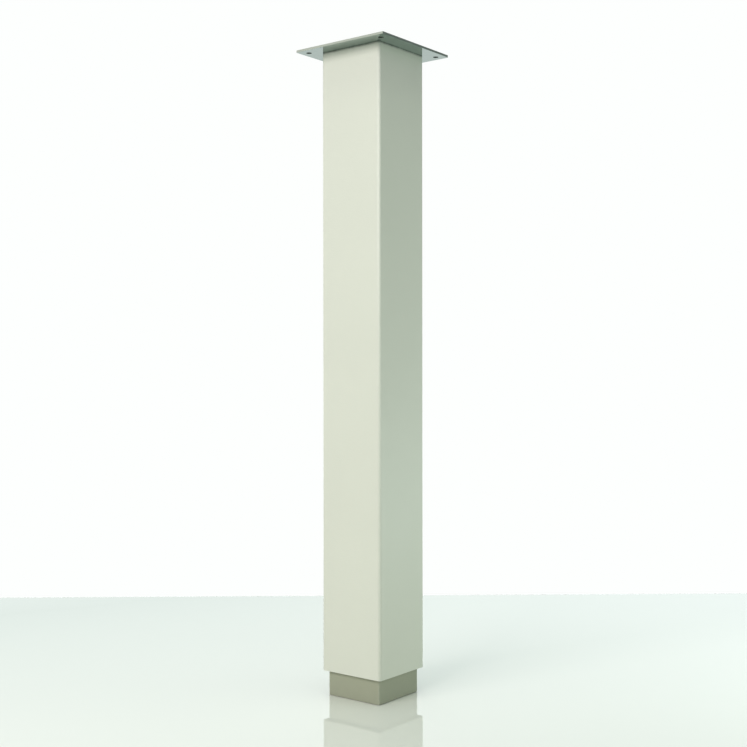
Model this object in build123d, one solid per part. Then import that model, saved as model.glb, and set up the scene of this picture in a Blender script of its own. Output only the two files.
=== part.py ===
from build123d import *
import math
import os

# Square furniture leg with a screwed levelling foot, in millimetres.
# The origin is on the floor under the middle of the leg, with +Z up.

# overall
leg_height = 710.0          # floor to the top face of the mounting plate, foot screwed in

# square tube
tube_side = 80.0
tube_wall = 1.5
tube_corner_radius = 3.0
seam_width = 2.4            # weld bead of the rolled tube, on the inside of the back wall
seam_height = 0.4
seam_end_gap = 4.0          # bead trimmed back from each end plate

# mounting plate
plate_overhang = 20.0       # past the tube on every side
plate_thickness = 2.5
plate_corner_radius = 1.0
screw_hole_diameter = 6.0
screw_hole_inset = 10.0     # hole centre to each plate edge
pip_diameter = 6.0          # half-sheared pips that sit in the corners of the tube
pip_height = 1.2
pip_clearance = 0.3         # pip to the inside of the tube wall

# countersunk bolt that clamps the mounting plate, M10
bolt_diameter = 10.0
bolt_head_diameter = 20.0
bolt_head_rim = 0.3         # straight rim above the cone of the head
bolt_sink = 0.3             # head below the top face of the mounting plate
bolt_end_spare = 3.2        # thread that shows past the nut
bolt_end_chamfer = 1.0
bolt_socket_flats = 6.0
bolt_socket_depth = 3.6
bolt_seat_clearance = 0.05
hole_clearance = 0.25       # plates round a bolt or stem, per side

# end plates welded into the two ends of the tube
end_plate_thickness = 4.0
end_plate_clip = 14.0       # corners cut off, which drains the tube when it is coated

# weld nuts, M10
nut_flats = 17.0
nut_height = 8.0
nut_chamfer = 0.8
collar_wall = 1.2           # collar of the nut, outside its thread
collar_height = 2.0
collar_clearance = 0.1
thread_clearance = 0.05     # thread crest to nut bore, per side

# foot
foot_inset = 5.0            # from the tube's faces
foot_height = 27.5          # floor to the end of the tube, foot screwed in
foot_corner_radius = 1.5
foot_edge_chamfer = 0.5
foot_wall = 2.2
foot_roof = 3.0
foot_floor_gap = 0.5        # skirt of the foot above the floor
foot_inside_radius = 1.0
rib_thickness = 1.8
rib_count = 8
rib_relief = 1.2            # straight ribs stop this far above the glide
boss_wall = 2.2             # outside the groove for the glide's bead

# stem moulded into the foot, M10 x 1.5
stem_diameter = 10.0
stem_pitch = 1.5
stem_turns = 13             # whole turns of travel
stem_spare = 7.4            # thread above the nut when the foot is fully out
stem_head_flats = 17.0
stem_head_height = 6.4
stem_end_chamfer = 1.2
mould_clearance = 0.05

# glide that stays on the floor while the foot turns on it
glide_clearance = 1.3       # to the inside of the skirt, per side
glide_thickness = 3.0
glide_edge_break = 0.8
glide_rim_width = 7.0
glide_recess_depth = 0.6    # shallow recess in its underside
spigot_wall = 1.8
spigot_height = 6.2
spigot_headroom = 0.8       # under the head of the stem
spigot_clearance = 0.1      # to the bore of the boss, per side
spigot_slots = 4
spigot_slot_width = 2.4
spigot_root = 1.0           # unslotted height of the spigot
bead_height = 1.2
bead_proud = 0.6
bead_clearance = 0.3

# worked out: levels
tube_bottom = foot_height
tube_top = leg_height - plate_thickness
adjust_travel = stem_turns * stem_pitch

# worked out: tube and plates
tube_inside = tube_side - 2 * tube_wall
tube_inside_radius = max(tube_corner_radius - tube_wall, 0)
plate_side = tube_side + 2 * plate_overhang
screw_hole_spacing = plate_side - 2 * screw_hole_inset
pip_spacing = tube_inside - pip_diameter - 2 * pip_clearance

# worked out: the dimple, a 90 degree cone that keeps the plate's thickness
dimple_hole = bolt_diameter / 2 + hole_clearance
dimple_mouth = bolt_head_diameter / 2 + hole_clearance + bolt_sink
dimple_depth = dimple_mouth - dimple_hole
dimple_shift = plate_thickness * math.sqrt(0.5)
dimple_bottom = leg_height - dimple_depth - dimple_shift
head_plate_bottom = dimple_bottom - end_plate_thickness
base_plate_top = tube_bottom + end_plate_thickness

# worked out: foot, stem and glide
foot_side = tube_side - 2 * foot_inset
foot_inside = foot_side - 2 * foot_wall
roof_level = foot_height - foot_roof
stem_head_corner = stem_head_flats / math.sqrt(3)
stem_head_bottom = glide_thickness + spigot_height + spigot_headroom
stem_head_top = stem_head_bottom + stem_head_height
stem_top = base_plate_top + nut_height + adjust_travel + stem_spare
boss_bore = stem_head_corner + 2 * spigot_clearance
spigot_radius = boss_bore - spigot_clearance
spigot_top = glide_thickness + spigot_height
bead_bottom = spigot_top - bead_height
groove_radius = spigot_radius + bead_proud + bead_clearance
boss_radius = groove_radius + boss_wall
glide_radius = foot_inside / 2 - glide_clearance
ring_radius = (boss_radius + foot_inside / 2) / 2


def square_bar(side, radius, bottom, top):
    """A square bar with rounded upright edges, between two heights."""
    with BuildPart() as bar:
        with BuildSketch(Plane.XY.offset(bottom)):
            if radius > 0:
                RectangleRounded(side, side, radius)
            else:
                Rectangle(side, side)
        extrude(amount=top - bottom)
    return bar.part


def round_bar(radius, bottom, top, at=(0.0, 0.0)):
    """A round bar that stands between two heights."""
    stand = (Align.CENTER, Align.CENTER, Align.MIN)
    return Location((at[0], at[1], bottom)) * Cylinder(radius, top - bottom, align=stand)


def hexagon_bar(flats, bottom, top):
    """A hexagonal bar, given across its flats, between two heights."""
    with BuildPart() as bar:
        with BuildSketch(Plane.XY.offset(bottom)):
            RegularPolygon(flats / 2, 6, major_radius=False)
        extrude(amount=top - bottom)
    return bar.part


def turned(points):
    """A solid of revolution about the Z axis, from (radius, height) points."""
    with BuildPart() as solid:
        with BuildSketch(Plane.XZ):
            with BuildLine():
                Polyline(*points, close=True)
            make_face()
        revolve(axis=Axis.Z)
    return solid.part


def square_pattern(spacing):
    """The four corners of a square about the axis."""
    half = spacing / 2
    return [(x, y) for x in (-half, half) for y in (-half, half)]


def leg_tube():
    """Rolled and welded square tube, with its seam bead down the inside of the back wall."""
    outside = square_bar(tube_side, tube_corner_radius, tube_bottom, tube_top)
    bore = square_bar(tube_inside, tube_inside_radius, tube_bottom, tube_top)
    seam_bottom = base_plate_top + seam_end_gap
    seam_top = head_plate_bottom - seam_end_gap
    bead = Box(seam_width, 2 * seam_height, seam_top - seam_bottom)
    return outside - bore + Location((0, tube_inside / 2, (seam_bottom + seam_top) / 2)) * bead


def mounting_plate():
    """Blanked plate with four screw holes, four pips and a dimple for the bolt's head."""
    plate = square_bar(plate_side, plate_corner_radius, tube_top, leg_height)
    for at in square_pattern(screw_hole_spacing):
        plate -= round_bar(screw_hole_diameter / 2, tube_top, leg_height, at)
    for at in square_pattern(pip_spacing):
        plate -= round_bar(pip_diameter / 2, leg_height - pip_height, leg_height, at)
        plate += round_bar(pip_diameter / 2, tube_top - pip_height, tube_top, at)
    # the outer cone is the inner one moved square to itself by the plate's thickness
    outer_foot = dimple_hole + dimple_shift
    outer_mouth = outer_foot + tube_top - dimple_bottom
    blend = outer_mouth + plate_thickness
    dimple = turned(
        [
            (dimple_hole, dimple_bottom),
            (outer_foot, dimple_bottom),
            (outer_mouth, tube_top),
            (blend, tube_top),
            (blend, leg_height),
            (dimple_mouth, leg_height),
            (dimple_hole, leg_height - dimple_depth),
        ]
    )
    return plate - round_bar(blend, tube_top, leg_height) + dimple


def plate_bolt():
    """Countersunk bolt with a hexagon socket, its cone just clear of the dimple's cone."""
    radius = bolt_diameter / 2
    head_radius = bolt_head_diameter / 2
    # the cone's point, if it had one, lies this high, because both cones are 90 degrees
    cone_point = leg_height - dimple_mouth + bolt_seat_clearance
    cone_top = cone_point + head_radius
    head_top = cone_top + bolt_head_rim
    bolt_end = head_plate_bottom - nut_height - bolt_end_spare
    bolt = turned(
        [
            (0, bolt_end),
            (radius - bolt_end_chamfer, bolt_end),
            (radius, bolt_end + bolt_end_chamfer),
            (radius, cone_point + radius),
            (head_radius, cone_top),
            (head_radius, head_top),
            (0, head_top),
        ]
    )
    return bolt - hexagon_bar(bolt_socket_flats, head_top - bolt_socket_depth, head_top)


def end_plate(bottom, nut_on_top, thread_diameter):
    """Blanked plate that fills the tube, with clipped corners and a stepped hole for the nut."""
    with BuildPart() as plate:
        with BuildSketch(Plane.XY.offset(bottom)) as outline:
            Rectangle(tube_inside, tube_inside)
            chamfer(outline.vertices(), end_plate_clip)
        extrude(amount=end_plate_thickness)
    top = bottom + end_plate_thickness
    seat_depth = collar_height + collar_clearance
    seat_radius = thread_diameter / 2 + collar_wall + collar_clearance
    hole = round_bar(thread_diameter / 2 + hole_clearance, bottom, top)
    if nut_on_top:
        seat = round_bar(seat_radius, top - seat_depth, top)
    else:
        seat = round_bar(seat_radius, bottom, bottom + seat_depth)
    return plate.part - hole - seat


def weld_nut(face, nut_on_top, thread_diameter):
    """Hexagon nut on a face, chamfered at its free end, with a collar into the plate."""
    corner = nut_flats / math.sqrt(3)
    envelope = turned(
        [
            (0, 0),
            (corner, 0),
            (corner, nut_height - nut_chamfer),
            (nut_flats / 2 - nut_chamfer / 2, nut_height),
            (0, nut_height),
        ]
    )
    nut = hexagon_bar(nut_flats, 0, nut_height) & envelope
    nut += round_bar(thread_diameter / 2 + collar_wall, -collar_height, 0)
    nut -= round_bar(thread_diameter / 2 + thread_clearance, -collar_height, nut_height)
    if not nut_on_top:
        nut = Rotation(180, 0, 0) * nut
    return Location((0, 0, face)) * nut


def foot_shell():
    """Moulded foot: an open box with a boss for the stem, a ring rib and ribs to the skirt."""
    shell = square_bar(foot_side, foot_corner_radius, foot_floor_gap, foot_height)
    top_edges = shell.edges().filter_by_position(Axis.Z, foot_height, foot_height)
    shell = chamfer(top_edges, foot_edge_chamfer)
    shell -= square_bar(foot_inside, foot_inside_radius, foot_floor_gap, roof_level)
    # the ring rib hangs from the roof down to the glide
    shell += round_bar(ring_radius, glide_thickness, roof_level)
    shell -= round_bar(ring_radius - rib_thickness, glide_thickness, roof_level)
    # straight ribs reach from the boss to the skirt, square to it and on its diagonals
    rib_bottom = glide_thickness + rib_relief
    rib_start = boss_radius - rib_thickness / 2
    for number in range(rib_count):
        angle = number * 360 / rib_count
        turn = math.radians(angle)
        to_skirt = foot_inside / 2 / max(abs(math.cos(turn)), abs(math.sin(turn)))
        length = to_skirt + foot_wall / 2 - rib_start
        rib = Box(length, rib_thickness, roof_level - rib_bottom)
        place = Location((rib_start + length / 2, 0, (roof_level + rib_bottom) / 2))
        shell += Rotation(0, 0, angle) * place * rib
    # the boss is bored in steps: spigot, bead groove, hexagon for the stem's head, stem
    shell += round_bar(boss_radius, glide_thickness, roof_level)
    shell -= round_bar(boss_bore, glide_thickness, stem_head_bottom)
    groove_top = bead_bottom + bead_height + bead_clearance
    shell -= round_bar(groove_radius, bead_bottom - bead_clearance, groove_top)
    shell -= hexagon_bar(stem_head_flats + 2 * mould_clearance, stem_head_bottom, stem_head_top)
    return shell - round_bar(stem_diameter / 2 + mould_clearance, stem_head_top, foot_height)


def foot_stem():
    """Hexagon-headed stem, head down in the boss and shank up through the nut."""
    radius = stem_diameter / 2
    shank = turned(
        [
            (0, stem_head_bottom),
            (radius, stem_head_bottom),
            (radius, stem_top - stem_end_chamfer),
            (radius - stem_end_chamfer, stem_top),
            (0, stem_top),
        ]
    )
    return shank + hexagon_bar(stem_head_flats, stem_head_bottom, stem_head_top)


def foot_glide():
    """Round glide with a recessed underside and a slotted spigot that snaps into the boss."""
    rim_inside = glide_radius - glide_rim_width
    disc = turned(
        [
            (0, glide_recess_depth),
            (rim_inside - glide_recess_depth, glide_recess_depth),
            (rim_inside, 0),
            (glide_radius - glide_edge_break, 0),
            (glide_radius, glide_edge_break),
            (glide_radius, glide_thickness),
            (0, glide_thickness),
        ]
    )
    inner = spigot_radius - spigot_wall
    spigot = turned(
        [
            (inner, glide_thickness),
            (spigot_radius, glide_thickness),
            (spigot_radius, bead_bottom),
            (spigot_radius + bead_proud, bead_bottom + bead_height / 2),
            (spigot_radius, spigot_top),
            (inner, spigot_top),
        ]
    )
    slot_bottom = glide_thickness + spigot_root
    slot = Box(4 * spigot_radius, spigot_slot_width, spigot_top - slot_bottom)
    slot = Location((0, 0, (slot_bottom + spigot_top) / 2)) * slot
    for number in range(spigot_slots // 2):
        spigot -= Rotation(0, 0, number * 360 / spigot_slots) * slot
    return disc + spigot


nodes = {
    "leg_tube": leg_tube(),
    "mounting_plate": mounting_plate(),
    "plate_bolt": plate_bolt(),
    "head_plate": end_plate(head_plate_bottom, False, bolt_diameter),
    "head_nut": weld_nut(head_plate_bottom, False, bolt_diameter),
    "base_plate": end_plate(tube_bottom, True, stem_diameter),
    "base_nut": weld_nut(base_plate_top, True, stem_diameter),
    "foot_shell": foot_shell(),
    "foot_stem": foot_stem(),
    "foot_glide": foot_glide(),
}

os.makedirs("parts", exist_ok=True)
for name, part in nodes.items():
    export_step(part, f"parts/{name}.step")
    print(f"{name}: {len(part.solids())} solid, {part.volume:.0f} mm3")
print(f"tube {tube_top - tube_bottom} mm long, foot travels {adjust_travel} mm")
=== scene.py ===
# %% [markdown]
# # Square support leg with a levelling foot
# The construction comes packed: a coated square tube, a bare mounting plate, a moulded
# foot on a threaded stem, and the small parts between them. This file dresses that frame.
# Nothing is moved or resized. Sizes are in metres, +Z is up, and the origin is on the
# floor under the middle of the leg.

import math

import bpy
import numpy as np
from mathutils import Matrix, Vector


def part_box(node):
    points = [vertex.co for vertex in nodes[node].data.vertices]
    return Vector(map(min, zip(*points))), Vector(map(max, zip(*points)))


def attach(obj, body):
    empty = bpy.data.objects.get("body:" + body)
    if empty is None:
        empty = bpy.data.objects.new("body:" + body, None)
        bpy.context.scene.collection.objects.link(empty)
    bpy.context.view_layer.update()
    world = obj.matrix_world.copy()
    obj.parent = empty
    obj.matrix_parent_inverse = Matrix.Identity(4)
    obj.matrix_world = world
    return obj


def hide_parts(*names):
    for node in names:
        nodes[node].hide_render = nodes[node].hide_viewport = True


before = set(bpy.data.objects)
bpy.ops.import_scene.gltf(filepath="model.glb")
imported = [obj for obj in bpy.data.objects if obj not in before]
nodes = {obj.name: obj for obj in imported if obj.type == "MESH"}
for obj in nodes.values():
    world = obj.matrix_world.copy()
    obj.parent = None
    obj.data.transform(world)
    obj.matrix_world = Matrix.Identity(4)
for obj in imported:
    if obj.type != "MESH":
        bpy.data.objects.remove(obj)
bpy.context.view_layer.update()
scene = bpy.context.scene

# %% [markdown]
# ## Camera
# The picture is taken from about the middle of the leg's height with the camera almost
# level, so the upright edges stay nearly upright. The lens is a little longer than a
# normal one. It comes from a focal length in pixels, because that is what can be worked
# out from the edges of a square object in a picture.

# %% Place the camera
PICTURE_WIDTH = 747
FOCAL_PIXELS = 1173.4
SENSOR_MM = 36.0
AZIMUTH = math.radians(37.985)
CAMERA_DISTANCE = 1.3014
CAMERA_HEIGHT = 0.3581
CAMERA_PITCH = math.radians(-0.147)
CAMERA_ROLL = math.radians(0.060)
CAMERA_SIDE = 0.00041

ahead = Vector((-math.sin(AZIMUTH), math.cos(AZIMUTH), 0.0))
right = Vector((math.cos(AZIMUTH), math.sin(AZIMUTH), 0.0))
camera_data = bpy.data.cameras.new("camera")
camera_data.sensor_width = SENSOR_MM
camera_data.lens = SENSOR_MM * FOCAL_PIXELS / PICTURE_WIDTH
camera = bpy.data.objects.new("camera", camera_data)
scene.collection.objects.link(camera)
camera.location = -CAMERA_DISTANCE * ahead + CAMERA_SIDE * right + Vector((0, 0, CAMERA_HEIGHT))
view_line = ahead * math.cos(CAMERA_PITCH) + Vector((0, 0, math.sin(CAMERA_PITCH)))
camera.rotation_mode = "QUATERNION"
roll = Matrix.Rotation(CAMERA_ROLL, 4, view_line).to_quaternion()
camera.rotation_quaternion = roll @ view_line.to_track_quat("-Z", "Y")
scene.camera = camera
scene.view_settings.view_transform = "Standard"
print("lens", round(camera_data.lens, 2), "mm")

# %% [markdown]
# ## Shader helpers
# Every finish is built from the same few blocks: noise that changes the colour a little,
# noise that changes the gloss a little, and a height for the bump. Each effect that more
# than one finish uses is a node group with named sockets, so that a finish only sets
# numbers. The groups read object coordinates, which are real metres on every piece.

# %% Helpers for node trees
def srgb(red, green, blue):
    """A colour given as 0 to 255 screen values, as linear light for a shader."""
    out = []
    for value in (red, green, blue):
        v = value / 255
        out.append(v / 12.92 if v <= 0.04045 else ((v + 0.055) / 1.055) ** 2.4)
    return (*out, 1.0)


def new_group(name, inputs, outputs):
    """An empty shader group. inputs holds (name, type, default), outputs (name, type)."""
    group = bpy.data.node_groups.new(name, "ShaderNodeTree")
    for label, kind, default in inputs:
        socket = group.interface.new_socket(label, in_out="INPUT", socket_type=kind)
        socket.default_value = default
    for label, kind in outputs:
        group.interface.new_socket(label, in_out="OUTPUT", socket_type=kind)
    return group, group.nodes.new("NodeGroupInput"), group.nodes.new("NodeGroupOutput")


def math_node(tree, operation, first, second=None, third=None):
    """A Math node fed by sockets or plain numbers. Returns its output socket."""
    node = tree.nodes.new("ShaderNodeMath")
    node.operation = operation
    for index, value in enumerate((first, second, third)):
        if value is None:
            continue
        if isinstance(value, (int, float)):
            node.inputs[index].default_value = value
        else:
            tree.links.new(value, node.inputs[index])
    return node.outputs[0]


def noise_node(tree, vector, scale, detail=2.0, roughness=0.5):
    """A 3-D noise from 0 to 1 with its middle near one half. scale is in waves a metre."""
    node = tree.nodes.new("ShaderNodeTexNoise")
    tree.links.new(vector, node.inputs["Vector"])
    if isinstance(scale, (int, float)):
        node.inputs["Scale"].default_value = scale
    else:
        tree.links.new(scale, node.inputs["Scale"])
    node.inputs["Detail"].default_value = detail
    node.inputs["Roughness"].default_value = roughness
    return node.outputs["Fac"]


def map_range(tree, value, low, high, to_low, to_high):
    """Carries value from the span low..high to the span to_low..to_high, and clamps it."""
    node = tree.nodes.new("ShaderNodeMapRange")
    tree.links.new(value, node.inputs["Value"])
    for label, number in zip(
        ("From Min", "From Max", "To Min", "To Max"), (low, high, to_low, to_high)
    ):
        if isinstance(number, (int, float)):
            node.inputs[label].default_value = number
        else:
            tree.links.new(number, node.inputs[label])
    return node.outputs["Result"]


print("shader helpers ready")

# %% [markdown]
# ## Light
# A large soft box stands square to the left faces. How high it stands sets how deep the
# shadow is that the plate throws on the column and the column on the foot. A second one
# hangs high over the floor, and a low reflector on the right lifts the lower part of the
# right faces. Places are given as the camera sees them, because that is how lamps are set
# up round a camera.

# %% Place three soft boxes
def stand(sideways, forward, height):
    """The point so far to the camera's right, away from the camera and above the floor."""
    return sideways * right + forward * ahead + Vector((0, 0, height))


def soft_box(name, place, target, size, watts, colour):
    """A rectangular lamp at place that faces target. Its light falls off with distance."""
    data = bpy.data.lights.new(name, "AREA")
    data.shape = "RECTANGLE"
    data.size, data.size_y = size
    data.energy = watts
    data.color = colour
    lamp = bpy.data.objects.new(name, data)
    lamp.location = place
    aim = target - place
    lamp.rotation_mode = "QUATERNION"
    lamp.rotation_quaternion = aim.to_track_quat("-Z", "Y")
    scene.collection.objects.link(lamp)
    return lamp


KEY_PLACE = stand(-1.26, -1.50, 1.20)
KEY_TARGET = stand(0.0, 0.0, 0.40)
KEY_SIZE = (1.3, 1.15)
KEY_WATTS = 26.7
KEY_COLOUR = (1.0, 0.937, 0.965)
soft_box("key_soft_box", KEY_PLACE, KEY_TARGET, KEY_SIZE, KEY_WATTS, KEY_COLOUR)

FILL_PLACE = stand(0.8, -0.1, 0.12)
FILL_TARGET = stand(0.0, 0.0, 0.20)
FILL_SIZE = (0.5, 0.2)
FILL_WATTS = 1.05
FILL_COLOUR = (0.864, 1.0, 0.969)
soft_box("low_reflector", FILL_PLACE, FILL_TARGET, FILL_SIZE, FILL_WATTS, FILL_COLOUR)

TOP_PLACE = stand(0.0, -0.1, 2.20)
TOP_TARGET = stand(0.0, -0.1, 0.0)
TOP_SIZE = (1.6, 1.6)
TOP_WATTS = 15.6
TOP_COLOUR = (0.891, 1.0, 0.84)
top = soft_box("top_soft_box", TOP_PLACE, TOP_TARGET, TOP_SIZE, TOP_WATTS, TOP_COLOUR)
top.visible_glossy = False
print("soft boxes of", KEY_WATTS, FILL_WATTS, TOP_WATTS, "watts")

# %% [markdown]
# ### Card behind the floor
# The gloss of the floor shows what stands behind it. A lit card there adds to the white
# that the floor mirrors, and only mirrors see it. It is at full strength where the picture
# shows its mirror image and fades out to its sides and its top, so that no edge of it
# shows in the floor from elsewhere. A lamp's own Parametric output tells how far across
# and how far up a point of it lies, each from 0 to 1.

# %% Place the card
def fade_card(lamp, size, full):
    """Keeps a lamp at full strength up to the size full, then fades it out to its own size."""
    lamp.data.use_nodes = True
    tree = lamp.data.node_tree
    tree.nodes.clear()
    place = tree.nodes.new("ShaderNodeSeparateXYZ")
    parametric = tree.nodes.new("ShaderNodeNewGeometry").outputs["Parametric"]
    tree.links.new(parametric, place.inputs[0])
    from_middle = math_node(tree, "SUBTRACT", place.outputs["X"], 0.5)
    from_middle = math_node(tree, "ABSOLUTE", from_middle)
    sideways = map_range(tree, from_middle, full[0] / size[0] / 2, 0.5, 1.0, 0.0)
    upwards = map_range(tree, place.outputs["Y"], full[1] / size[1], 1.0, 1.0, 0.0)
    emission = tree.nodes.new("ShaderNodeEmission")
    strength = math_node(tree, "MULTIPLY", sideways, upwards)
    tree.links.new(strength, emission.inputs["Strength"])
    out = tree.nodes.new("ShaderNodeOutputLight")
    tree.links.new(emission.outputs[0], out.inputs["Surface"])


FLOOR_BEHIND = 0.565
CARD_GAP = 0.03
CARD_RADIANCE = 1.0
CARD_SIZE = (5.0, 0.50)
CARD_FULL = (1.4, 0.25)
CARD_COLOUR = (0.835, 0.95, 1.0)
card_place = stand(0.0, FLOOR_BEHIND + CARD_GAP, CARD_SIZE[1] / 2)
card_target = card_place - ahead
card_watts = math.pi * CARD_SIZE[0] * CARD_SIZE[1] * CARD_RADIANCE
card = soft_box("backdrop_card", card_place, card_target, CARD_SIZE, card_watts, CARD_COLOUR)
card.visible_diffuse = False
fade_card(card, CARD_SIZE, CARD_FULL)
print("card", round(FLOOR_BEHIND + CARD_GAP, 3), "m behind the leg")

# %% [markdown]
# ### Room
# The world gives the even part of the light at a low strength. To the camera, in mirrors
# and through glass it shows white instead, so the background is pale without any more
# light on the leg.

# %% Set up the world
WHITE = (0.985, 1.0, 0.99, 1.0)
WHITE_STRENGTH = 1.0
ROOM = (0.854, 1.0, 0.978, 1.0)
ROOM_STRENGTH = 0.2835
world = bpy.data.worlds.new("pale_room")
scene.world = world
world.use_nodes = True
wt = world.node_tree
wt.nodes.clear()
path = wt.nodes.new("ShaderNodeLightPath")
shown = math_node(wt, "MAXIMUM", path.outputs["Is Camera Ray"], path.outputs["Is Glossy Ray"])
seen = math_node(wt, "MAXIMUM", shown, path.outputs["Is Transmission Ray"])
room_light = wt.nodes.new("ShaderNodeBackground")
room_light.inputs["Color"].default_value = ROOM
room_light.inputs["Strength"].default_value = ROOM_STRENGTH
room_view = wt.nodes.new("ShaderNodeBackground")
room_view.inputs["Color"].default_value = WHITE
room_view.inputs["Strength"].default_value = WHITE_STRENGTH
pick = wt.nodes.new("ShaderNodeMixShader")
wt.links.new(seen, pick.inputs["Fac"])
wt.links.new(room_light.outputs[0], pick.inputs[1])
wt.links.new(room_view.outputs[0], pick.inputs[2])
world_out = wt.nodes.new("ShaderNodeOutputWorld")
wt.links.new(pick.outputs[0], world_out.inputs["Surface"])
print("room light", ROOM_STRENGTH)

# %% [markdown]
# ### Group 1: fine skin
# Powder coat, moulded plastic and zinc all have a skin that is not quite flat: soft
# dimples a millimetre or so wide, with a finer grain on top. One group gives its height,
# a small change of gloss, and a small change of tone. The finish sets how wide it is.

# %% Build the fine skin group
CLOUDS_PER_METRE = 9.0


def build_fine_skin():
    """Height = dimples + grain share x grain. Roughness and Tone follow slow clouds."""
    group, given, out = new_group(
        "fine_skin",
        [
            ("Vector", "NodeSocketVector", (0, 0, 0)),
            ("Dimples per metre", "NodeSocketFloat", 700.0),
            ("Grain per metre", "NodeSocketFloat", 4000.0),
            ("Grain share", "NodeSocketFloat", 0.3),
            ("Roughness", "NodeSocketFloat", 0.4),
            ("Roughness change", "NodeSocketFloat", 0.08),
        ],
        [
            ("Height", "NodeSocketFloat"),
            ("Roughness", "NodeSocketFloat"),
            ("Tone", "NodeSocketFloat"),
        ],
    )
    place = given.outputs["Vector"]
    dimples = noise_node(group, place, given.outputs["Dimples per metre"], 1.5)
    grain = noise_node(group, place, given.outputs["Grain per metre"], 2.0, 0.6)
    fine = math_node(group, "MULTIPLY", grain, given.outputs["Grain share"])
    height = math_node(group, "ADD", dimples, fine)
    group.links.new(height, out.inputs["Height"])
    cloud = noise_node(group, place, CLOUDS_PER_METRE, 3.0)
    swing = math_node(group, "SUBTRACT", cloud, 0.5)
    change = math_node(group, "MULTIPLY", swing, given.outputs["Roughness change"])
    group.links.new(
        math_node(group, "ADD", given.outputs["Roughness"], change), out.inputs["Roughness"]
    )
    group.links.new(cloud, out.inputs["Tone"])
    return group


fine_skin = build_fine_skin()
print("group", fine_skin.name)

# %% [markdown]
# ### Group 2: edge of a square bar
# Near the corners of a square piece a paler colour is mixed in. On the coat this is a painted
# highlight, and on the moulded foot it is a painted highlight with some wear. On a square bar
# whose middle is the Z axis, a point is near an upright corner when the smaller of |x| and |y|
# is nearly half the side. That needs no mesh data, so it holds for any square piece.

# %% Build the square edge group
EDGE_NOISE_PER_METRE = 260.0
EDGE_NOISE_SWING = 0.0016


def build_square_edge():
    """Mask = how far the smaller of |x| and |y| has come from half side - width to half side."""
    group, given, out = new_group(
        "square_edge",
        [
            ("Vector", "NodeSocketVector", (0, 0, 0)),
            ("Half side", "NodeSocketFloat", 0.04),
            ("Width", "NodeSocketFloat", 0.004),
        ],
        [("Mask", "NodeSocketFloat")],
    )
    split = group.nodes.new("ShaderNodeSeparateXYZ")
    group.links.new(given.outputs["Vector"], split.inputs[0])
    x = math_node(group, "ABSOLUTE", split.outputs["X"])
    y = math_node(group, "ABSOLUTE", split.outputs["Y"])
    nearest = math_node(group, "MINIMUM", x, y)
    start = math_node(group, "SUBTRACT", given.outputs["Half side"], given.outputs["Width"])
    uneven = noise_node(group, given.outputs["Vector"], EDGE_NOISE_PER_METRE, 3.0)
    shift = math_node(group, "MULTIPLY_ADD", uneven, EDGE_NOISE_SWING, -EDGE_NOISE_SWING / 2)
    moved = math_node(group, "ADD", nearest, shift)
    mask = map_range(group, moved, start, given.outputs["Half side"], 0.0, 1.0)
    group.links.new(mask, out.inputs["Mask"])
    return group


square_edge = build_square_edge()
print("group", square_edge.name)

# %% [markdown]
# ### Group 3: dark band along a line
# A band of darker colour that is strongest at one height. It paints the shade where two pieces
# meet, and it darkens the foot towards the floor. The mask is strong at that height and fades
# away from it on both sides, broken up by noise so that it is patchy.

# %% Build the grime line group
PATCHES_PER_METRE = 90.0


def build_dark_band_line():
    """Mask = (1 - distance from the level / width, not below 0) x patches x amount."""
    group, given, out = new_group(
        "dark_band_line",
        [
            ("Vector", "NodeSocketVector", (0, 0, 0)),
            ("Level", "NodeSocketFloat", 0.0),
            ("Width", "NodeSocketFloat", 0.01),
            ("Amount", "NodeSocketFloat", 0.3),
        ],
        [("Mask", "NodeSocketFloat")],
    )
    split = group.nodes.new("ShaderNodeSeparateXYZ")
    group.links.new(given.outputs["Vector"], split.inputs[0])
    above = math_node(group, "SUBTRACT", split.outputs["Z"], given.outputs["Level"])
    away = math_node(group, "ABSOLUTE", above)
    near = map_range(group, away, 0.0, given.outputs["Width"], 1.0, 0.0)
    patches = noise_node(group, given.outputs["Vector"], PATCHES_PER_METRE, 4.0, 0.6)
    # the band is painted shade where two pieces meet, and a darkening towards the floor on the
    # foot
    mask = math_node(group, "MULTIPLY", near, patches)
    mask = math_node(group, "MULTIPLY", mask, given.outputs["Amount"])
    group.links.new(mask, out.inputs["Mask"])
    return group


dark_band_line = build_dark_band_line()
print("group", dark_band_line.name)

# %% [markdown]
# ### Group 4: cut faces of a plate
# A plate cut from plated strip has bright rolled faces and dull edges. The group tells apart the
# edges that get painted light, a paler tone on those facing along Y, from the edges that get
# painted shade, a darker tone on those facing along X. A face of a flat plate is an edge when
# its normal lies level, so the group looks at the normal's Z, and its X and Y tell which kind it
# is. The walls of the punched holes are told by their distance from the hole's middle, and they
# get painted shade.

# %% Build the cut face group
LEVEL_ENOUGH = 0.30
NOT_LEVEL = 0.45
HOLE_MARGIN = 0.0004


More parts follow.
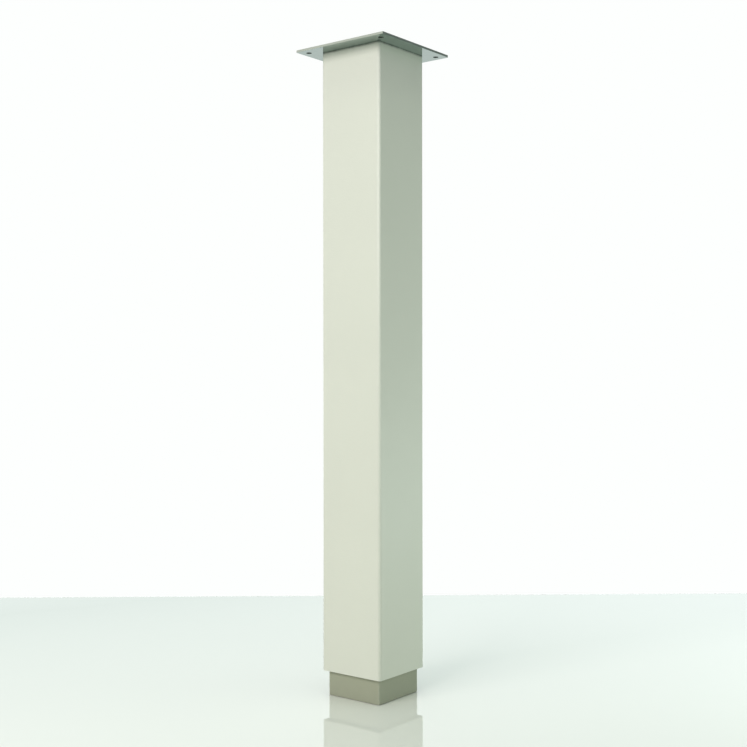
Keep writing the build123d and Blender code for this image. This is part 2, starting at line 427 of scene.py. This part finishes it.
def build_cut_face():
    """Cut = 1 where the normal lies level, and fades to 0 as its |z| grows.

    Shaded edge is the part of Cut where the normal's |x| is larger than its |y|; those edges get
    painted shade. Hole is the part of Cut that lies no farther than the hole's radius and a
    margin from a hole's middle.
    """
    group, given, out = new_group(
        "cut_face",
        [
            ("Vector", "NodeSocketVector", (0, 0, 0)),
            ("Hole spacing", "NodeSocketFloat", 0.1),
            ("Hole radius", "NodeSocketFloat", 0.003),
        ],
        [
            ("Cut", "NodeSocketFloat"),
            ("Shaded edge", "NodeSocketFloat"),
            ("Hole", "NodeSocketFloat"),
        ],
    )
    facing = group.nodes.new("ShaderNodeNewGeometry").outputs["True Normal"]
    tilt = group.nodes.new("ShaderNodeSeparateXYZ")
    group.links.new(facing, tilt.inputs[0])
    level = math_node(group, "ABSOLUTE", tilt.outputs["Z"])
    cut = map_range(group, level, LEVEL_ENOUGH, NOT_LEVEL, 1.0, 0.0)
    group.links.new(cut, out.inputs["Cut"])
    along_x = math_node(group, "ABSOLUTE", tilt.outputs["X"])
    along_y = math_node(group, "ABSOLUTE", tilt.outputs["Y"])
    faces_x = math_node(group, "GREATER_THAN", along_x, along_y)
    group.links.new(math_node(group, "MULTIPLY", faces_x, cut), out.inputs["Shaded edge"])
    split = group.nodes.new("ShaderNodeSeparateXYZ")
    group.links.new(given.outputs["Vector"], split.inputs[0])
    half = math_node(group, "MULTIPLY", given.outputs["Hole spacing"], 0.5)
    x = math_node(group, "SUBTRACT", math_node(group, "ABSOLUTE", split.outputs["X"]), half)
    y = math_node(group, "SUBTRACT", math_node(group, "ABSOLUTE", split.outputs["Y"]), half)
    square = math_node(group, "MULTIPLY_ADD", x, x, math_node(group, "MULTIPLY", y, y))
    distance = math_node(group, "SQRT", square)
    edge = math_node(group, "ADD", given.outputs["Hole radius"], HOLE_MARGIN)
    hole = math_node(group, "LESS_THAN", distance, edge)
    group.links.new(math_node(group, "MULTIPLY", hole, cut), out.inputs["Hole"])
    return group


cut_face = build_cut_face()
print("group", cut_face.name)

# %% [markdown]
# ## Start of a material
# Each finish begins alike: object coordinates, a Principled shader and an output. The
# helpers then place a group, mix two colours, and add a bump whose height is a real one.
# They keep a finish short enough to read as a list of what its surface has.

# %% Helpers for materials
def start_material(name):
    """A material with object coordinates and a Principled shader, wired to the output."""
    material = bpy.data.materials.new(name)
    material.use_nodes = True
    tree = material.node_tree
    tree.nodes.clear()
    out = tree.nodes.new("ShaderNodeOutputMaterial")
    shader = tree.nodes.new("ShaderNodeBsdfPrincipled")
    tree.links.new(shader.outputs["BSDF"], out.inputs["Surface"])
    coordinates = tree.nodes.new("ShaderNodeTexCoord").outputs["Object"]
    return material, tree, shader, coordinates


def place_group(tree, group, coordinates, **values):
    """Puts a shader group into a material and sets its inputs. Underscores stand for spaces."""
    node = tree.nodes.new("ShaderNodeGroup")
    node.node_tree = group
    tree.links.new(coordinates, node.inputs["Vector"])
    for label, value in values.items():
        node.inputs[label.replace("_", " ")].default_value = value
    return node


def add_bump(tree, shader, height, strength, distance):
    """Feeds a height to the shader's normal. distance is the real height in metres."""
    bump = tree.nodes.new("ShaderNodeBump")
    bump.inputs["Strength"].default_value = strength
    bump.inputs["Distance"].default_value = distance
    tree.links.new(height, bump.inputs["Height"])
    tree.links.new(bump.outputs["Normal"], shader.inputs["Normal"])


def shade_of(colour, share):
    """The same colour with its light multiplied by share."""
    return tuple(share * c for c in colour[:3]) + (1.0,)


def mix_colour(tree, factor, first, second):
    """Mixes two colours, each a socket or a plain colour, by factor. Returns the output."""
    mix = tree.nodes.new("ShaderNodeMix")
    mix.data_type = "RGBA"
    tree.links.new(factor, mix.inputs["Factor"])
    for label, value in (("A", first), ("B", second)):
        socket = next(s for s in mix.inputs if s.name == label and s.type == "RGBA")
        if isinstance(value, tuple):
            socket.default_value = value
        else:
            tree.links.new(value, socket)
    return next(s for s in mix.outputs if s.type == "RGBA")


CLOUD_LOW = 0.3
CLOUD_HIGH = 0.7


def cloudy_colour(tree, skin, colour, share):
    """The colour with slow clouds of a darker shade of it, as the skin's Tone goes."""
    tone = map_range(tree, skin.outputs["Tone"], CLOUD_LOW, CLOUD_HIGH, 0.0, 1.0)
    return mix_colour(tree, tone, colour, shade_of(colour, share))


print("material helpers ready")

# %% [markdown]
# ## Cream white powder coat
# The column is sprayed with powder and baked. That leaves a satin skin with soft dimples, like
# fine orange peel. Its corners are painted a little paler as a painted highlight. An image of
# such a skin would need the tube laid out flat and would blur in a close view, so noise makes
# the dimples at their real size. Painted shade darkens the column's top where it meets the
# plate: a narrow dark line in the joint and a wider, fainter band below it.

# %% Make the powder coat
COAT_SHADE = 0.975
CORNER_WIDTH = 0.003
CORNER_HIGHLIGHT_SHARE = 0.5
JOINT_SHADE_SHARE = 0.15


def powder_coat(name, colour, corner, half_side, shade_lines=()):
    """A satin coat with paler corners as a painted highlight. shade_lines holds (level, width,
    amount) for each line of painted shade.
    """
    material, tree, shader, place = start_material(name)
    skin = place_group(
        tree, fine_skin, place, Dimples_per_metre=520.0, Grain_per_metre=3600.0,
        Grain_share=0.25, Roughness=0.36, Roughness_change=0.10,
    )
    edge = place_group(tree, square_edge, place, Half_side=half_side, Width=CORNER_WIDTH)
    base = cloudy_colour(tree, skin, colour, COAT_SHADE)
    # painted highlight: a paler colour is mixed in near the upright corners
    at_corner = math_node(tree, "MULTIPLY", edge.outputs["Mask"], CORNER_HIGHLIGHT_SHARE)
    base = mix_colour(tree, at_corner, base, corner)
    # painted shade: each line darkens the coat towards the height where two pieces meet
    joint_shade = shade_of(colour, JOINT_SHADE_SHARE)
    for level, width, amount in shade_lines:
        line = place_group(tree, dark_band_line, place, Level=level, Width=width, Amount=amount)
        base = mix_colour(tree, line.outputs["Mask"], base, joint_shade)
    tree.links.new(base, shader.inputs["Base Color"])
    tree.links.new(skin.outputs["Roughness"], shader.inputs["Roughness"])
    shader.inputs["IOR"].default_value = 1.5
    shader.inputs["Specular IOR Level"].default_value = 0.45
    add_bump(tree, shader, skin.outputs["Height"], strength=0.6, distance=0.00016)
    return material


# the corner colour is a painted highlight
COAT_COLOUR = srgb(226, 229, 214)
COAT_CORNER_HIGHLIGHT = srgb(236, 238, 226)
THIN_COAT = srgb(205, 208, 192)
half_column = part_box("leg_tube")[1].x
column_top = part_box("leg_tube")[1].z
# painted shade under the plate: a narrow dark line in the joint, and a wide faint one round it
plate_joint_shade = [(column_top, 0.002, 1.3), (column_top, 0.007, 0.3)]
column_coat = powder_coat(
    "cream_powder_coat", COAT_COLOUR, COAT_CORNER_HIGHLIGHT, half_column, plate_joint_shade
)
inner_coat = powder_coat("inner_powder_coat", THIN_COAT, COAT_COLOUR, half_column)
print("column half side", round(half_column, 4))

# %% [markdown]
# ## Bare bright plate
# The plate is zinc plated sheet: a smooth metal that shows the column as a soft, dark reflection
# and the room as a bright one. Rolled sheet has a faint grain along one direction, made here by
# stretching noise. The cut edges are duller than the faces, because shears leave them rough, so
# the finish also looks at which way a face points. Edges that face along Y get a paler colour as
# painted light, edges that face along X get a darker one as painted shade, and the walls of the
# holes are painted dark as shade.

# %% Make the zinc plate
HOLE_SPACING = 0.100
HOLE_RADIUS = 0.003
HOLE_SHADE = srgb(52, 56, 52)
# painted light and shade: a lit and a shaded colour for the cut edges
CUT_EDGE_LIT = srgb(180, 186, 174)
CUT_EDGE_SHADED = srgb(122, 130, 124)
LINES_PER_METRE = 1400.0
LINE_HEIGHT = 0.6
LINE_SWING = 0.12
SPANGLES_PER_METRE = 420.0
SPANGLE_SHARE = 0.5
ZINC_SHADE = 0.86
ZINC_TONES = (0.4, 1.1)
CUT_ROUGHNESS = 0.45
CUT_SPECULAR = 0.1


def zinc_steel(name, colour, grain_stretch, roughness, is_plate=False):
    """Plated steel. grain_stretch below 1 on an axis draws the rolling lines out along it."""
    material, tree, shader, place = start_material(name)
    stretch = tree.nodes.new("ShaderNodeMapping")
    stretch.inputs["Scale"].default_value = grain_stretch
    tree.links.new(place, stretch.inputs["Vector"])
    lines = noise_node(tree, stretch.outputs["Vector"], LINES_PER_METRE, 3.0, 0.65)
    skin = place_group(
        tree, fine_skin, place, Dimples_per_metre=60.0, Grain_per_metre=2400.0,
        Grain_share=0.15, Roughness=roughness, Roughness_change=0.10,
    )
    spangle = tree.nodes.new("ShaderNodeTexVoronoi")
    spangle.inputs["Scale"].default_value = SPANGLES_PER_METRE
    tree.links.new(place, spangle.inputs["Vector"])
    shade = tree.nodes.new("ShaderNodeRGBToBW")
    tree.links.new(spangle.outputs["Color"], shade.inputs[0])
    mixed = math_node(
        tree, "MULTIPLY_ADD", shade.outputs[0], SPANGLE_SHARE, skin.outputs["Tone"]
    )
    tone = map_range(tree, mixed, *ZINC_TONES, 0.0, 1.0)
    base = mix_colour(tree, tone, colour, shade_of(colour, ZINC_SHADE))
    line_rough = math_node(tree, "MULTIPLY_ADD", lines, LINE_SWING, -LINE_SWING / 2)
    rough = math_node(tree, "ADD", skin.outputs["Roughness"], line_rough)
    if not is_plate:
        shader.inputs["Metallic"].default_value = 1.0
    else:
        cut = place_group(
            tree, cut_face, place, Hole_spacing=HOLE_SPACING, Hole_radius=HOLE_RADIUS
        )
        # painted light and shade: cut edges facing along Y paler, those facing along X darker
        base = mix_colour(tree, cut.outputs["Cut"], base, CUT_EDGE_LIT)
        base = mix_colour(tree, cut.outputs["Shaded edge"], base, CUT_EDGE_SHADED)
        # painted shade in the holes: their walls are painted dark
        base = mix_colour(tree, cut.outputs["Hole"], base, HOLE_SHADE)
        metal = math_node(tree, "SUBTRACT", 1.0, cut.outputs["Cut"])
        tree.links.new(metal, shader.inputs["Metallic"])
        rough = math_node(tree, "MULTIPLY_ADD", cut.outputs["Cut"], CUT_ROUGHNESS, rough)
        shader.inputs["Specular IOR Level"].default_value = CUT_SPECULAR
    tree.links.new(base, shader.inputs["Base Color"])
    tree.links.new(rough, shader.inputs["Roughness"])
    height = math_node(tree, "MULTIPLY_ADD", lines, LINE_HEIGHT, skin.outputs["Height"])
    add_bump(tree, shader, height, strength=0.12, distance=0.00008)
    return material


SHEET_ZINC = srgb(148, 167, 160)
BOLT_ZINC = srgb(178, 186, 184)
ROLLED = (1.0, 0.06, 1.0)
TUMBLED = (1.0, 1.0, 1.0)
plate_zinc = zinc_steel("zinc_plate_sheet", SHEET_ZINC, ROLLED, roughness=0.08, is_plate=True)
fastener_zinc = zinc_steel("zinc_plate_fastener", BOLT_ZINC, TUMBLED, roughness=0.24)
print("zinc finishes ready")

# %% [markdown]
# ## Moulded foot
# The foot is injection moulded in a warm grey. The mould's faces are spark eroded, which gives
# the plastic a fine even grain and a satin look. The group that dimples the coat makes this
# grain too, only finer, and the corner group makes the corners a little paler, as wear and a
# painted highlight. The foot is darker towards the floor, and painted shade darkens it right
# under the column.

# %% Make the moulded plastic
PLASTIC_SHADE = 0.95
PALE_CORNER_WIDTH = 0.0022
HIGHLIGHT_AND_WEAR_SHARE = 0.35
DARKER_TONE_SHARE = 0.5


def moulded_plastic(name, colour, pale, half_side, roof, roughness):
    """Satin plastic for a square piece of that half side, with its top at the height roof."""
    material, tree, shader, place = start_material(name)
    skin = place_group(
        tree, fine_skin, place, Dimples_per_metre=1500.0, Grain_per_metre=5200.0,
        Grain_share=0.6, Roughness=roughness, Roughness_change=0.12,
    )
    edge = place_group(tree, square_edge, place, Half_side=half_side, Width=PALE_CORNER_WIDTH)
    # darker towards the floor
    floor_line = place_group(tree, dark_band_line, place, Level=0.0, Width=0.02, Amount=0.3)
    # painted shade right under the column's overhang
    roof_shade_line = place_group(tree, dark_band_line, place, Level=roof, Width=0.005, Amount=1.0)
    base = cloudy_colour(tree, skin, colour, PLASTIC_SHADE)
    # painted highlight and wear: the corners are mixed a little paler
    highlight_and_wear = math_node(tree, "MULTIPLY", edge.outputs["Mask"], HIGHLIGHT_AND_WEAR_SHARE)
    base = mix_colour(tree, highlight_and_wear, base, pale)
    # one darker tone for the band towards the floor and for the painted shade under the column
    darker_tone = shade_of(colour, DARKER_TONE_SHARE)
    base = mix_colour(tree, floor_line.outputs["Mask"], base, darker_tone)
    base = mix_colour(tree, roof_shade_line.outputs["Mask"], base, darker_tone)
    tree.links.new(base, shader.inputs["Base Color"])
    tree.links.new(skin.outputs["Roughness"], shader.inputs["Roughness"])
    shader.inputs["Specular IOR Level"].default_value = 0.4
    add_bump(tree, shader, skin.outputs["Height"], strength=0.7, distance=0.00012)
    return material


half_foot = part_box("foot_shell")[1].x
foot_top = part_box("foot_shell")[1].z
FOOT_GREY = srgb(169, 173, 150)
# the paler corner colours are a painted highlight and wear
FOOT_HIGHLIGHT_AND_WEAR = srgb(188, 192, 174)
GLIDE_DARK = srgb(62, 64, 62)
GLIDE_HIGHLIGHT_AND_WEAR = srgb(110, 112, 108)
foot_grey = moulded_plastic(
    "moulded_warm_grey", FOOT_GREY, FOOT_HIGHLIGHT_AND_WEAR, half_foot, foot_top, roughness=0.42
)
glide_dark = moulded_plastic(
    "moulded_dark_glide", GLIDE_DARK, GLIDE_HIGHLIGHT_AND_WEAR, half_foot, foot_top, roughness=0.5
)
print("foot half side", round(half_foot, 4))

# %% [markdown]
# ## Pieces made here
# A piece is a grid of points: rings round the Z axis, stacked in order, with one point in
# the middle at each end. Whole arrays work out every radius and height at once. The rings
# share one number of points, so any section can turn into any other along the stack.

# %% Helpers that make a piece
CREASE = math.radians(32)


def ring_mesh(name, rings):
    """A closed mesh from rings of shape (rows, around, 3). Its ends are filled by fans.

    Point n of row r has the number r x around + n. A side face joins points n and n + 1
    of a row with the same two of the next row, and the last point is joined to the first.
    """
    rows, around, _ = rings.shape
    middle = np.array([[0, 0, rings[0, :, 2].mean()], [0, 0, rings[-1, :, 2].mean()]])
    points = np.concatenate([rings.reshape(-1, 3), middle])
    here = np.arange(around)
    after = (here + 1) % around
    low = (np.arange(rows - 1) * around)[:, None]
    sides = np.stack(
        [low + here, low + after, low + around + after, low + around + here], -1
    ).reshape(-1, 4)
    last = (rows - 1) * around
    bottom = np.stack([after, here, np.full(around, rows * around)], -1)
    top = np.stack([last + here, last + after, np.full(around, rows * around + 1)], -1)
    mesh = bpy.data.meshes.new(name)
    mesh.from_pydata(points.tolist(), [], sides.tolist() + bottom.tolist() + top.tolist())
    mesh.validate()
    mesh.shade_smooth()
    mesh.set_sharp_from_angle(angle=CREASE)
    return mesh


def finish_piece(name, mesh, material, body, stands_for):
    """Puts a mesh into the scene, gives it its finish, hangs it on its body and hides the node
    it stands for.
    """
    piece = bpy.data.objects.new(name, mesh)
    scene.collection.objects.link(piece)
    mesh.materials.append(material)
    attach(piece, body)
    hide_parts(stands_for)
    print(name, len(mesh.polygons), "faces")


print("edges sharper than", round(math.degrees(CREASE)), "degrees stay sharp")

# %% [markdown]
# ### Threaded stem
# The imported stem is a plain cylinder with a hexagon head. This one has its M10 x 1.5
# thread. At angle a and height z, the phase is z / pitch - a / full turn. Its fraction
# runs from 0 at one crest to 1 at the next, and a flat-topped, flat-rooted triangle of
# it gives the radius. The phase grows with z and falls with a, which is a right-hand
# screw. The head's radius at an angle is the flat's distance over the cosine of the angle
# from the flat's middle. A screw curve swept round the axis would need a join to the
# shank, and here the same rings carry head, shank and thread.

# %% Radius of the thread and of the head
STEM_RADIUS = 0.005
STEM_PITCH = 0.0015
CREST_FLAT = 1 / 8
ROOT_FLAT = 1 / 4
# the usual depth of an outside metric thread
THREAD_DEPTH = 0.6134 * STEM_PITCH


def thread_radius(angle, height, crest, root):
    """Radius of a metric thread: crest flat an eighth of the pitch, root flat a quarter.

    The distance from the root's middle, in pitches, is |fraction of the phase - 1/2|. The
    radius is the root's up to half the root flat, then grows evenly to the crest's.
    """
    phase = np.mod(height / STEM_PITCH - angle / (2 * np.pi), 1.0)
    off_root = np.abs(phase - 0.5)
    flank_end = 0.5 - CREST_FLAT / 2
    depth = np.clip((flank_end - off_root) / (flank_end - ROOT_FLAT / 2), 0.0, 1.0)
    return crest + (root - crest) * depth


def hexagon_radius(angle, flats):
    """Half of flats, the width over flats, divided by the cosine of the angle off a flat."""
    sector = np.mod(angle, np.pi / 3) - np.pi / 6
    return flats / 2 / np.cos(sector)


print("thread depth", round(1000 * THREAD_DEPTH, 2), "mm")

# %% Build the threaded stem
HEAD_HEIGHT = 0.0064
HEAD_CHAMFER = 0.0007
HEAD_RIM = 0.0003
RIM_SHARE = 0.97
WASHER_SHARE = 1.02
PLAIN_SHANK = 0.0115
NECK_FILLET = 0.0004
END_CONE = 0.0012
THREAD_LEAD = 0.8 * STEM_PITCH
AROUND = 72
THREAD_ROWS = 340


def threaded_stem():
    """Rings of the head, the plain shank and the thread, from the bottom to the top.

    A point lies at (radius x cosine of the angle, radius x sine of the angle, height). The
    thread grows out of the shank over one pitch, and a cone of 45 degrees cuts its end.
    """
    low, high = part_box("foot_stem")
    crest = STEM_RADIUS
    root = crest - THREAD_DEPTH
    flats = high.y - low.y
    head_top = low.z + HEAD_HEIGHT
    thread_start = head_top + PLAIN_SHANK
    angle = np.linspace(0, 2 * np.pi, AROUND, endpoint=False)
    hexagon = hexagon_radius(angle, flats)
    washer = np.minimum(hexagon, flats / 2 * WASHER_SHARE)
    plain = np.full(AROUND, crest)
    sections = [
        (low.z, washer * RIM_SHARE),
        (low.z + HEAD_RIM, washer),
        (low.z + HEAD_CHAMFER, hexagon),
        (head_top - HEAD_CHAMFER, hexagon),
        (head_top - HEAD_RIM, washer),
        (head_top, washer * RIM_SHARE),
        (head_top, plain + NECK_FILLET),
        (head_top + NECK_FILLET, plain),
        (thread_start - STEM_PITCH, plain),
    ]
    heights = np.array([z for z, _ in sections])
    radii = np.stack([r for _, r in sections])
    steps = np.linspace(thread_start - THREAD_LEAD, high.z, THREAD_ROWS)
    grown = np.clip((steps - thread_start) / STEM_PITCH, 0.0, 1.0)[:, None]
    thread = thread_radius(angle[None, :], steps[:, None], crest, root)
    thread = crest + (thread - crest) * grown
    cone = crest - END_CONE + (high.z - steps)[:, None]
    radii = np.concatenate([radii, np.minimum(thread, cone)])
    heights = np.concatenate([heights, steps])
    heights = np.broadcast_to(heights[:, None], radii.shape)
    rings = np.stack([radii * np.cos(angle), radii * np.sin(angle), heights], -1)
    return ring_mesh("threaded_stem", rings)


finish_piece(
    "threaded_stem", threaded_stem(), fastener_zinc, "foot", "foot_stem"
)

# %% [markdown]
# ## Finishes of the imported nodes
# The pieces that were packed are shown as they are, so each only needs its material. The
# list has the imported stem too, though the threaded one takes its place in the picture.

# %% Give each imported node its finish
finishes = {
    "leg_tube": column_coat,
    "mounting_plate": plate_zinc,
    "plate_bolt": fastener_zinc,
    "head_plate": inner_coat,
    "head_nut": inner_coat,
    "base_plate": inner_coat,
    "base_nut": inner_coat,
    "foot_shell": foot_grey,
    "foot_stem": fastener_zinc,
    "foot_glide": glide_dark,
}
for node_name, finish in finishes.items():
    node = nodes[node_name]
    node.data.materials.clear()
    node.data.materials.append(finish)
print("finishes given to", len(finishes), "nodes")

# %% [markdown]
# ### Softened edges
# No real edge is perfectly sharp. Powder builds up round a cut tube end, a press rolls
# the edge of a plate over, and a mould has a small radius. A bevel on every edge that
# turns by more than 40 degrees gives each its own small width, which leaves the box of the
# part as it was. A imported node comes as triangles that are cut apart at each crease, so a
# Weld joins them first: without it a Bevel finds no edge that two faces share, and does
# nothing. Then triangles that lie in one plane are made one face, because a bevel would
# fold the thin ones between a hole and an edge over. The widths are small, so that the
# strip round a small hole or beside the tube's inner weld bead doesn't fold either. The
# foot's shell is left out: its top edge is already cut back in the solid, and its ribs
# meet at edges too short for a bevel.

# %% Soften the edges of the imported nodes
JOIN_DISTANCE = 1e-6
SAME_PLANE = math.radians(0.05)
SHARP_EDGE = math.radians(40)
BEVEL_SEGMENTS = 2
edge_widths = {
    "leg_tube": 0.00015,
    "mounting_plate": 0.00008,
    "plate_bolt": 0.0001,
    "base_plate": 0.0003,
    "base_nut": 0.0001,
    "foot_glide": 0.0002,
}
for node_name, width in edge_widths.items():
    weld = nodes[node_name].modifiers.new("joined_faces", "WELD")
    weld.merge_threshold = JOIN_DISTANCE
    flat = nodes[node_name].modifiers.new("joined_flats", "DECIMATE")
    flat.decimate_type = "DISSOLVE"
    flat.angle_limit = SAME_PLANE
    bevel = nodes[node_name].modifiers.new("soft_edges", "BEVEL")
    bevel.width = width
    bevel.segments = BEVEL_SEGMENTS
    bevel.limit_method = "ANGLE"
    bevel.angle_limit = SHARP_EDGE
    bevel.use_clamp_overlap = False
    bevel.harden_normals = True
print("softened", len(edge_widths), "nodes")

# %% [markdown]
# ## Floor
# The leg stands on a pale, slightly green, glossy sheet. It shows a clear but weak mirror
# image of the foot and column, and keeps their soft shadow. A low index of refraction
# keeps that image weak, and lets it grow stronger where the sheet is seen at a low angle,
# as on a real one. The sheet stops a little way behind the leg, where the white background
# begins, and that edge isn't quite square to the camera. On its other sides it fades into
# the background, farther out than the picture reaches.

# %% Lay the floor sheet
FLOOR_FRONT = 3.0
FLOOR_SIDE = 3.0
EDGE_SLOPE = math.tan(math.radians(1.4))
FLOOR_NEAR = srgb(235, 236, 228)
FLOOR_FAR = srgb(184, 190, 174)
TONE_DIRECTION = ahead - 0.6 * right
TONE_SPAN = (-0.20, 0.80)
TONE_POWER = 2.0
FADE_START = 0.95
FADE_END = 1.9
CLOUD_SWING = 0.10
FLOOR_CLOUDS = 1.6
FLOOR_GLOSS = 0.02
FLOOR_IOR = 1.32


def floor_sheet():
    """Four corners at (forward x ahead + across x right, z = 0), forward growing with across."""
    along = np.array([-FLOOR_FRONT, FLOOR_BEHIND])
    across = np.array([-FLOOR_SIDE, FLOOR_SIDE])
    a, c = np.meshgrid(along, across)
    a = a + EDGE_SLOPE * c
    ground = np.stack([ahead.x * a + right.x * c, ahead.y * a + right.y * c, 0 * a], -1)
    mesh = bpy.data.meshes.new("floor")
    mesh.from_pydata(ground.reshape(-1, 3).tolist(), [], [(0, 1, 3, 2)])
    if mesh.polygons[0].normal.z < 0:
        mesh.flip_normals()
    return bpy.data.objects.new("floor", mesh)


def floor_finish():
    """A glossy sheet that gets darker towards the back left and fades out far off."""
    material, tree, shader, place = start_material("glossy_pale_floor")
    away = tree.nodes.new("ShaderNodeVectorMath")
    away.operation = "DOT_PRODUCT"
    away.inputs[1].default_value = TONE_DIRECTION
    tree.links.new(place, away.inputs[0])
    cloud = noise_node(tree, place, FLOOR_CLOUDS, 2.0)
    shift = math_node(tree, "MULTIPLY_ADD", cloud, CLOUD_SWING, away.outputs["Value"])
    tone = map_range(tree, shift, *TONE_SPAN, 0.0, 1.0)
    tone = math_node(tree, "POWER", tone, TONE_POWER)
    # painted shade: the floor is darker towards the back left, where less light falls
    pale = mix_colour(tree, tone, FLOOR_NEAR, FLOOR_FAR)
    tree.links.new(pale, shader.inputs["Base Color"])
    far_off = tree.nodes.new("ShaderNodeVectorMath")
    far_off.operation = "LENGTH"
    tree.links.new(place, far_off.inputs[0])
    fade = map_range(tree, far_off.outputs["Value"], FADE_START, FADE_END, 1.0, 0.0)
    tree.links.new(fade, shader.inputs["Alpha"])
    shader.inputs["Roughness"].default_value = FLOOR_GLOSS
    shader.inputs["IOR"].default_value = FLOOR_IOR
    return material


floor = floor_sheet()
scene.collection.objects.link(floor)
floor.data.materials.append(floor_finish())
print("floor ends", FLOOR_BEHIND, "m behind the leg")
